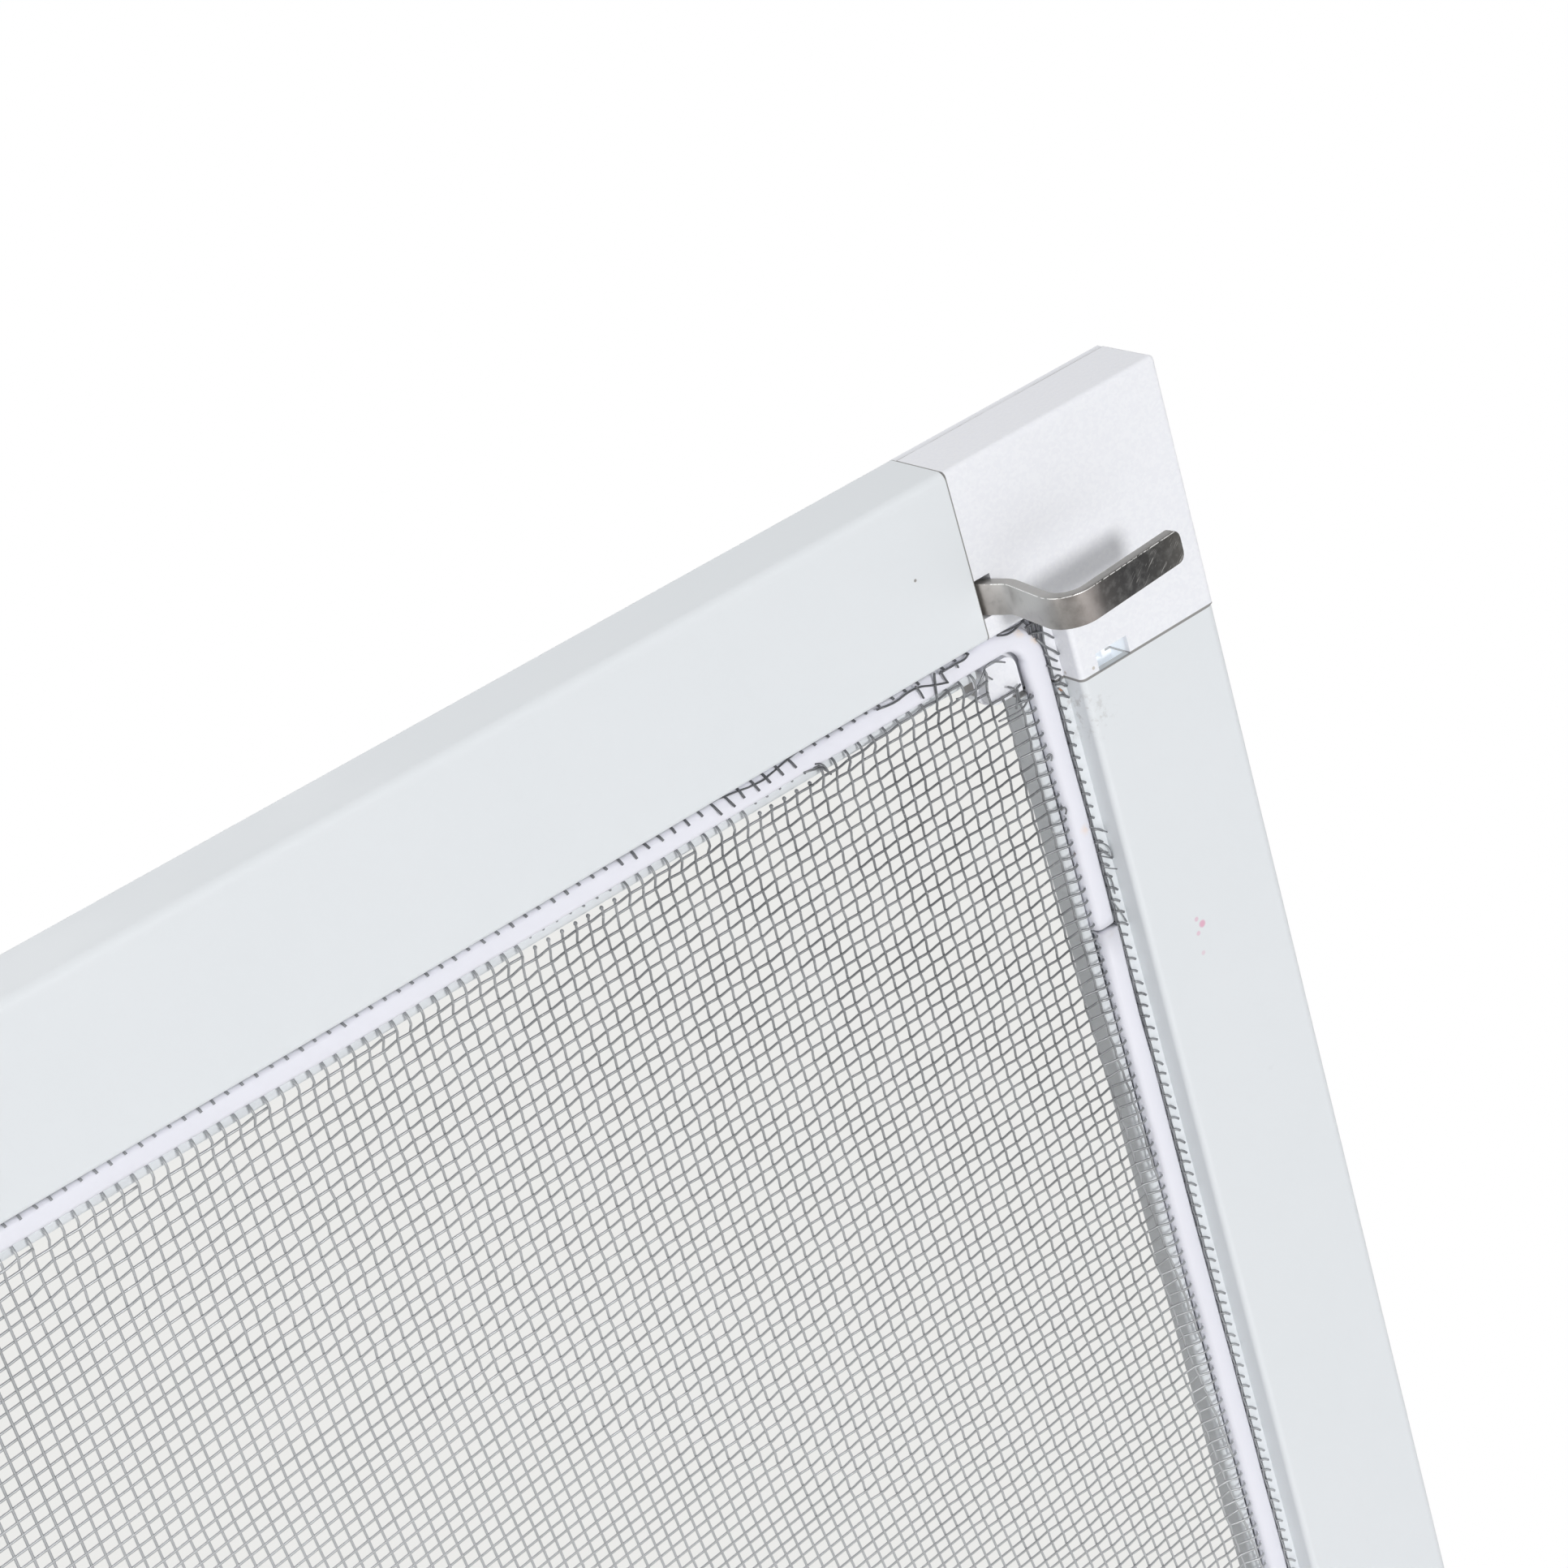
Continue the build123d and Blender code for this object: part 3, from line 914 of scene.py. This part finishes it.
# Loose strands near the corner: each has one depth, and (x, z) places on its way
STRANDS = (
    # Two strands pulled out over the spline, with the stubs that cross them
    (2.45, ((-33.3, -22.0), (-35.2, -21.4), (-36.8, -20.7), (-38.4, -20.6), (-40.1, -20.9), (-42.4, -20.5))),
    (2.45, ((-34.1, -20.6), (-31.9, -20.6), (-30.6, -20.7), (-30.0, -20.3))),
    (2.40, ((-37.3, -20.4), (-36.9, -21.2), (-36.7, -22.1))),
    (2.40, ((-33.9, -20.4), (-33.7, -21.1), (-33.4, -22.0))),
    (2.40, ((-31.8, -20.5), (-31.7, -21.1))),
    # A dark double loop beside the top joint
    (2.55, ((-26.0, -20.1), (-25.0, -20.3), (-24.0, -20.4), (-23.1, -20.5), (-22.4, -20.4))),
    (2.60, ((-26.0, -20.3), (-24.9, -20.8), (-23.9, -20.8), (-23.2, -20.6), (-22.4, -20.3))),
    # Ends over the corner connector's pad
    (3.25, ((-28.1, -23.3), (-28.9, -24.2), (-30.0, -24.9), (-31.1, -25.0), (-32.4, -24.6))),
    (3.45, ((-28.3, -23.7), (-27.9, -24.3), (-27.4, -24.9))),
    (3.20, ((-28.2, -23.2), (-27.2, -22.9), (-26.3, -23.3), (-25.5, -23.8))),
    (3.30, ((-25.9, -26.5), (-25.2, -27.0), (-25.0, -27.8), (-25.3, -28.6), (-25.6, -29.3))),
    (3.15, ((-23.5, -28.5), (-24.2, -29.2), (-25.2, -29.7), (-26.6, -29.6), (-28.2, -29.4))),
    # A frayed bundle at the torn lip
    (3.00, ((-52.6, -22.5), (-51.6, -22.5), (-50.4, -22.9), (-49.8, -23.5), (-49.3, -24.5))),
    (2.85, ((-52.4, -22.6), (-51.2, -22.9), (-50.2, -23.2), (-49.7, -23.9))),
    (2.80, ((-50.9, -22.4), (-50.2, -22.7), (-49.8, -23.3), (-49.6, -24.2))),
    # Small curls beside the spline on the right
    (2.85, ((-23.8, -35.9), (-23.3, -35.7), (-23.1, -36.2), (-23.4, -36.6))),
    (2.85, ((-23.8, -42.4), (-23.3, -42.2), (-23.1, -42.7), (-23.4, -43.1))),
    # Debris at the right joint
    (2.70, ((-20.4, -28.2), (-19.9, -28.0), (-19.5, -28.4), (-19.8, -28.9), (-20.2, -28.7))),
    (2.70, ((-20.3, -29.4), (-19.9, -29.9), (-19.7, -30.5))),
    (2.75, ((-20.5, -29.0), (-19.7, -29.2), (-19.3, -29.7))),
)
# A loop and long thin ends that fan out over the right ledge
FAN = (
    (2.60, ((-21.0, -45.9), (-19.8, -46.8), (-19.0, -47.6))),
    (2.55, ((-21.0, -47.9), (-19.9, -48.4), (-19.2, -49.4), (-19.2, -50.7))),
    (2.60, ((-20.4, -48.8), (-19.8, -49.8), (-19.2, -50.7))),
    (2.65, ((-20.6, -49.7), (-19.8, -50.3), (-19.2, -50.8))),
    (2.60, ((-20.7, -51.0), (-19.8, -51.7), (-19.0, -52.2))),
    (2.70, ((-20.3, -52.0), (-19.9, -53.2), (-20.0, -54.8))),
    (2.75, ((-20.6, -55.3), (-19.9, -57.0), (-19.4, -58.7))),
)
# Cloth bunched up beside the spline's bend, against the corner connector's wall: its downward wires, then
# those across them
BUNCHED_DOWN = (
    (3.0, ((-22.4, -20.3), (-21.7, -21.3), (-21.9, -22.3))),
    (3.0, ((-21.6, -20.0), (-21.2, -21.4), (-21.4, -22.9))),
    (3.0, ((-20.9, -20.4), (-20.7, -22.0), (-20.9, -23.6))),
    (3.0, ((-20.3, -20.8), (-20.1, -22.4), (-20.5, -24.5), (-20.3, -26.5), (-20.4, -28.2))),
)
BUNCHED_ACROSS = (
    (2.75, ((-22.5, -20.4), (-20.9, -20.2), (-19.7, -20.6))),
    (2.75, ((-22.3, -21.3), (-20.7, -21.2), (-19.5, -21.9))),
    (2.75, ((-21.9, -22.2), (-20.3, -22.7), (-19.2, -24.0))),
    (2.75, ((-21.3, -23.1), (-20.4, -24.5), (-19.4, -25.5), (-19.1, -26.0))),
    (2.75, ((-20.8, -25.1), (-20.3, -25.8), (-19.5, -26.6))),
    (2.75, ((-20.9, -26.4), (-20.3, -27.0), (-19.4, -27.7))),
)
STRAND_SIDES = 6
strands = Tubes()
for radius, ways in ((0.11, STRANDS), (0.075, FAN), (0.14, BUNCHED_DOWN), (0.13, BUNCHED_ACROSS)):
    for depth, way in ways:
        strands.add(eased([(x, depth, z) for x, z in way]), radius, STRAND_SIDES, DEPTH_STEADY)

for number, tubes in enumerate(upright_sets):
    piece(f"upright_wires_{number + 1}", tubes.vertices, tubes.faces, wire_material, "mesh")
for number, tubes in enumerate(level_sets):
    piece(f"level_wires_{number + 1}", tubes.vertices, tubes.faces, wire_material, "mesh")
piece("loose_strands", strands.vertices, strands.faces, wire_material, "mesh")


# Spline: a soft cord pressed into the channel, a little uneven
SPLINE_CENTRE = 21.75
SPLINE_DEPTH = 3.8
SPLINE_HALF_WIDTH = 1.27
SPLINE_HALF_DEPTH = 1.0
SPLINE_BEND = 3.6
SPLINE_MEET = 58.3
SPLINE_GAP = 0.8
SPLINE_SIDES = 20
# The section is an oval that is nearly square across and nearly round in depth
ACROSS_POWER = 0.5
DEPTH_POWER = 0.9
# Beyond these places the photograph ends, and the steps along the spline are long
TOP_SHOWN = -150.0
RIGHT_SHOWN = -170.0
SHOWN_STEP = 1.2
PLAIN_SPLINE_STEP = 6.0
TURN_STEPS = 12
# The two ends stand a little aside of each other, and the side runs are pressed wider
LOWER_END_ASIDE = 0.32
UPPER_END_ASIDE = 0.1
END_REACH = 9.0
SIDE_SPREAD = 0.07
SIDE_SHIFT = 0.06
# So is the bend beside the hook, the more the nearer its middle
BEND_SPREAD = 0.1
BEND_REACH = 9.0
BEND_SPAN = -34.0
# Small waves along the spline: height, length and start. Its ribs turn slowly around it.
SWAY_WAVES = ((0.03, 5.3, 0.0), (0.02, 2.1, 1.0))
LIFT_WAVE = (0.05, 7.7, 2.0)
WIDTH_WAVE = (0.015, 3.7, 0.0)
RIB_HEIGHT = 0.015
RIBS = 3
RIB_TURN = 40


def spline_route():
    """The spline's centre line, as (x, z) points with the outward direction at each."""
    right, top = -SPLINE_CENTRE, -SPLINE_CENTRE
    left, bottom = SPLINE_CENTRE - WIDTH, SPLINE_CENTRE - HEIGHT
    bend = SPLINE_BEND
    route = []

    def straight(x0, z0, x1, z1, outward):
        length = abs(x1 - x0) + abs(z1 - z0)
        shown = x0 > RIGHT_SHOWN and z0 > RIGHT_SHOWN
        count = int(length / (SHOWN_STEP if shown else PLAIN_SPLINE_STEP)) + 1
        for step in range(count + 1):
            share = step / count
            route.append((x0 + (x1 - x0) * share, z0 + (z1 - z0) * share, outward))

    def turn(centre_x, centre_z, start, end):
        for step in range(1, TURN_STEPS):
            angle = radians(start + (end - start) * step / TURN_STEPS)
            outward = (cos(angle), sin(angle))
            route.append((centre_x + bend * outward[0], centre_z + bend * outward[1], outward))

    straight(right, -SPLINE_MEET + SPLINE_GAP / 2, right, top - bend, (1, 0))
    turn(right - bend, top - bend, 0, 90)
    straight(right - bend, top, TOP_SHOWN, top, (0, 1))
    straight(TOP_SHOWN - 1, top, left + bend, top, (0, 1))
    turn(left + bend, top - bend, 90, 180)
    straight(left, top - bend, left, bottom + bend, (-1, 0))
    turn(left + bend, bottom + bend, 180, 270)
    straight(left + bend, bottom, right - bend, bottom, (0, -1))
    turn(right - bend, bottom + bend, 270, 360)
    straight(right, bottom + bend, right, RIGHT_SHOWN - 1, (1, 0))
    straight(right, RIGHT_SHOWN, right, -SPLINE_MEET - SPLINE_GAP / 2, (1, 0))
    return route


def power(value, exponent):
    """The value's size to that power, with the value's own sign."""
    return abs(value) ** exponent * (1 if value > 0 else -1)


def wave(travelled, height, length, start):
    return height * sin(travelled / length + start)


def spline_ring(x, z, outward, travelled):
    """The spline's outline at one place on its way, with its small unevenness."""
    sway = sum(wave(travelled, *one) for one in SWAY_WAVES)
    if outward == (1, 0) and z < -SPLINE_MEET:
        sway += LOWER_END_ASIDE * max(0.0, 1 - (-SPLINE_MEET - z) / END_REACH)
    elif outward == (1, 0):
        sway -= UPPER_END_ASIDE * max(0.0, 1 - (z + SPLINE_MEET) / END_REACH)
    lift = wave(travelled, *LIFT_WAVE)
    near_bend = x > BEND_SPAN and z > BEND_SPAN
    at_bend = max(0.0, 1 - abs(x - z) / BEND_REACH) if near_bend else 0.0
    wide = SPLINE_HALF_WIDTH * (1 + wave(travelled, *WIDTH_WAVE)) + BEND_SPREAD * at_bend
    if abs(outward[0]) == 1:
        wide += SIDE_SPREAD
        sway -= SIDE_SHIFT
    ring = []
    for k in range(SPLINE_SIDES):
        angle = 2 * pi * k / SPLINE_SIDES
        rib = 1 + RIB_HEIGHT * sin(RIBS * angle + travelled / RIB_TURN)
        off = wide * power(cos(angle), ACROSS_POWER) * rib + sway
        deep = SPLINE_HALF_DEPTH * power(sin(angle), DEPTH_POWER) * rib
        ring.append((x + outward[0] * off, SPLINE_DEPTH + deep + lift, z + outward[1] * off))
    return ring


def make_spline():
    route = spline_route()
    travelled = 0.0
    vertices = []
    last = route[0]
    for x, z, outward in route:
        travelled += abs(x - last[0]) + abs(z - last[1])
        last = (x, z)
        vertices += spline_ring(x, z, outward, travelled)
    faces = tube_faces(len(route), SPLINE_SIDES)
    piece("spline_cord", vertices, faces, pvc, "spline")


make_spline()


# Hooks: the part's bent strips, with softened edges. Their way is in the (x, v) plane.
JOINT_PLAY = 0.12
HIDDEN_LEG = 9.0
LEAN_ANGLE = radians(5.5)
FLAG_ANGLE = radians(5.3)
FLAG_FROM_JOINT = 17.95
ROOT_ANGLE = radians(65.0)
ROOT_SLOPE = 1 / tan(ROOT_ANGLE)
SEAT_DEPTH = 2.7
KNEE_RISE = 2.54
HOOK_REACH = 12.1
ROOT_X = ROOT_SLOPE + STRIP_THICKNESS / 2 / sin(ROOT_ANGLE) + JOINT_PLAY - JOINT
SEAT_X = ROOT_X - SEAT_DEPTH * ROOT_SLOPE
KNEE_X = ROOT_X + KNEE_RISE * ROOT_SLOPE
BEND_X = KNEE_X - (HOOK_REACH - KNEE_RISE) * tan(LEAN_ANGLE)
FLAG_END = FLAG_FROM_JOINT - JOINT
HOOK_WAY = (
    (SEAT_X - HIDDEN_LEG, SEAT_DEPTH),
    (SEAT_X, SEAT_DEPTH),
    (KNEE_X, -KNEE_RISE),
    (BEND_X, -HOOK_REACH),
    (FLAG_END, (FLAG_END - BEND_X) * tan(FLAG_ANGLE) - HOOK_REACH),
)
HOOK_BENDS = (1.4, 3.0, 2.9)
HOOK_BEND_STEPS = 12
# Where the rings of the rounded tip stand, as shares of its radius back from the very end
TIP_RINGS = (1.0, 0.75, 0.5, 0.25, 0.08, 0.0)


def rounded_way(points, bends):
    """The points joined by straights and arcs."""
    way = [Vector(points[0])]
    for k, radius in enumerate(bends):
        before, corner, after = (Vector(points[k + step]) for step in range(3))
        back = (before - corner).normalized()
        ahead = (after - corner).normalized()
        half = back.angle(ahead) / 2
        centre = corner + (back + ahead).normalized() * (radius / sin(half))
        start = corner + back * (radius / tan(half))
        end = corner + ahead * (radius / tan(half))
        first = atan2(start.y - centre.y, start.x - centre.x)
        turn = (atan2(end.y - centre.y, end.x - centre.x) - first + pi) % (2 * pi) - pi
        for step in range(HOOK_BEND_STEPS + 1):
            angle = first + turn * step / HOOK_BEND_STEPS
            way.append(centre + Vector((cos(angle), sin(angle))) * radius)
    tip = Vector(points[-1])
    ahead = (tip - way[-1]).normalized()
    for share in TIP_RINGS:
        way.append(tip - ahead * (TIP_ROUND * share))
    return way


def strip_section(half_width):
    """A thin rectangle with softened corners: (off the middle, up) points."""
    points = []
    for side, start in (((1, 1), 0), ((-1, 1), 90), ((-1, -1), 180), ((1, -1), 270)):
        for step in range(4):
            angle = radians(start + 30 * step)
            off = side[0] * (STRIP_THICKNESS / 2 - STRIP_EDGE) + STRIP_EDGE * cos(angle)
            up = side[1] * (half_width - STRIP_EDGE) + STRIP_EDGE * sin(angle)
            points.append((off, up))
    return points


def make_hook(name, mirror_x, mirror_z):
    way = rounded_way(HOOK_WAY, HOOK_BENDS)
    vertices = []
    tip = way[-1]
    for k, point in enumerate(way):
        low = way[max(k - 1, 0)]
        high = way[min(k + 1, len(way) - 1)]
        ahead = (high - low).normalized()
        normal = Vector((-ahead.y, ahead.x))
        short = max(0.0, TIP_ROUND - (tip - point).length)
        half_width = STRIP_WIDTH / 2 - TIP_ROUND + sqrt(max(0.0, TIP_ROUND**2 - short**2))
        for off, up in strip_section(half_width):
            at = point + normal * off
            vertices.append((at.x, at.y, up - HOOK_LEVEL))
    sides = len(strip_section(1.0))
    faces = tube_faces(len(way), sides)
    if mirror_x:
        vertices = [(-WIDTH - x, v, z) for x, v, z in vertices]
    if mirror_z:
        vertices = [(x, v, -HEIGHT - z) for x, v, z in vertices]
    if mirror_x != mirror_z:
        faces = [face[::-1] for face in faces]
    made = piece("strip_" + name, vertices, faces, steel, "hook_" + name)
    made.data.set_sharp_from_angle(angle=radians(25))


for name in CORNERS:
    make_hook(name, name.endswith("left"), name.startswith("bottom"))

# Floor, light and camera. A soft pale shade is painted on the floor behind the screen, where the mesh keeps
# the light off it. Its sides run away from the place where the photograph was taken, at these slopes.
FLOOR = -HALF_HEIGHT * MM
FLOOR_REACH = 12.0
CAMERA_PLACE = (0.03115, -0.28584, 0.43835)
SHADE_FROM = (0.031, -0.286)
SHADE_RIGHT = (0.69, 0.74)
SHADE_LEFT = (-0.97, -0.9)
SHADE_NEAR = (0.0, 0.05)
SHADE_FAR = (1.03, 1.2)


def make_floor():
    data = bpy.data.meshes.new("floor")
    reach = FLOOR_REACH
    data.from_pydata(
        [(-reach, -reach, FLOOR), (reach, -reach, FLOOR), (reach, reach, FLOOR), (-reach, reach, FLOOR)],
        [],
        [(0, 1, 2, 3)],
    )
    made = bpy.data.objects.new("floor", data)
    bpy.context.scene.collection.objects.link(made)
    material = bpy.data.materials.new("floor")
    material.use_nodes = True
    tree = material.node_tree
    tree.nodes.clear()
    output = tree.nodes.new("ShaderNodeOutputMaterial")
    matt = node(tree, "ShaderNodeBsdfDiffuse", {"Color": (0.85, 0.85, 0.85, 1)})
    split = node(tree, "ShaderNodeSeparateXYZ", {0: place(tree)})
    x, y = split.outputs[0], split.outputs[1]
    aside = math_node(tree, "SUBTRACT", x, SHADE_FROM[0])
    away = math_node(tree, "SUBTRACT", y, SHADE_FROM[1])
    slope = math_node(tree, "DIVIDE", aside, away)
    shade = product(
        tree,
        ramp(tree, slope, *SHADE_RIGHT, 1.0, 0.0),
        ramp(tree, slope, *SHADE_LEFT),
        ramp(tree, y, *SHADE_NEAR),
        ramp(tree, y, *SHADE_FAR, 1.0, 0.0),
    )
    colour = colour_mix(tree, shade, (1, 1, 1, 1), rgb(236, 236, 234))
    white = node(tree, "ShaderNodeEmission", {"Color": colour, "Strength": 1.0})
    path = node(tree, "ShaderNodeLightPath")
    seen = math_node(tree, "MAXIMUM", path.outputs["Is Camera Ray"], path.outputs["Is Glossy Ray"])
    seen = math_node(tree, "MAXIMUM", seen, path.outputs["Is Transmission Ray"])
    mixed = node(tree, "ShaderNodeMixShader", {0: seen, 1: matt.outputs[0], 2: white.outputs[0]})
    tree.links.new(mixed.outputs[0], output.inputs["Surface"])
    data.materials.append(material)


make_floor()

world = bpy.data.worlds.new("studio")
bpy.context.scene.world = world
world.use_nodes = True
world_tree = world.node_tree
world_tree.nodes.clear()
world_output = world_tree.nodes.new("ShaderNodeOutputWorld")
soft = node(world_tree, "ShaderNodeBackground", {"Color": (0.98, 0.99, 1.0, 1), "Strength": 0.27})
plain = node(world_tree, "ShaderNodeBackground", {"Color": (1, 1, 1, 1), "Strength": 1.0})
world_path = node(world_tree, "ShaderNodeLightPath")
shown = math_node(
    world_tree, "MAXIMUM", world_path.outputs["Is Camera Ray"], world_path.outputs["Is Transmission Ray"]
)
world_mix = node(world_tree, "ShaderNodeMixShader", {0: shown, 1: soft.outputs[0], 2: plain.outputs[0]})
world_tree.links.new(world_mix.outputs[0], world_output.inputs["Surface"])


def lamp(name, position, target, size, power):
    data = bpy.data.lights.new(name, "AREA")
    data.shape = "DISK"
    data.size = size
    data.energy = power
    made = bpy.data.objects.new(name, data)
    made.location = position
    made.rotation_euler = (Vector(target) - Vector(position)).to_track_quat("-Z", "Y").to_euler()
    bpy.context.scene.collection.objects.link(made)


lamp("key", (-0.05, -2.6, 0.95), (0.22, 0, 0.27), 0.6, 36.5)
lamp("left", (-2.3, -0.5, 0.6), (0.2, 0, 0.25), 1.4, 14.0)
lamp("overhead", (0.2, 0.2, 3.0), (0.2, 0, 0.3), 1.2, 26.0)
lamp("rear", (0.4, 2.4, 1.6), (0, 0, 0), 2.2, 22.0)

camera_data = bpy.data.cameras.new("camera")
camera_data.sensor_width = 36.0
camera_data.lens = 85.67
camera_data.clip_start = 0.01
camera_data.clip_end = 60.0
camera = bpy.data.objects.new("camera", camera_data)
camera.location = CAMERA_PLACE
camera.rotation_euler = Euler((radians(63.221), radians(15.271), radians(-37.021)))
bpy.context.scene.collection.objects.link(camera)
bpy.context.scene.camera = camera
bpy.context.scene.view_settings.view_transform = "Standard"
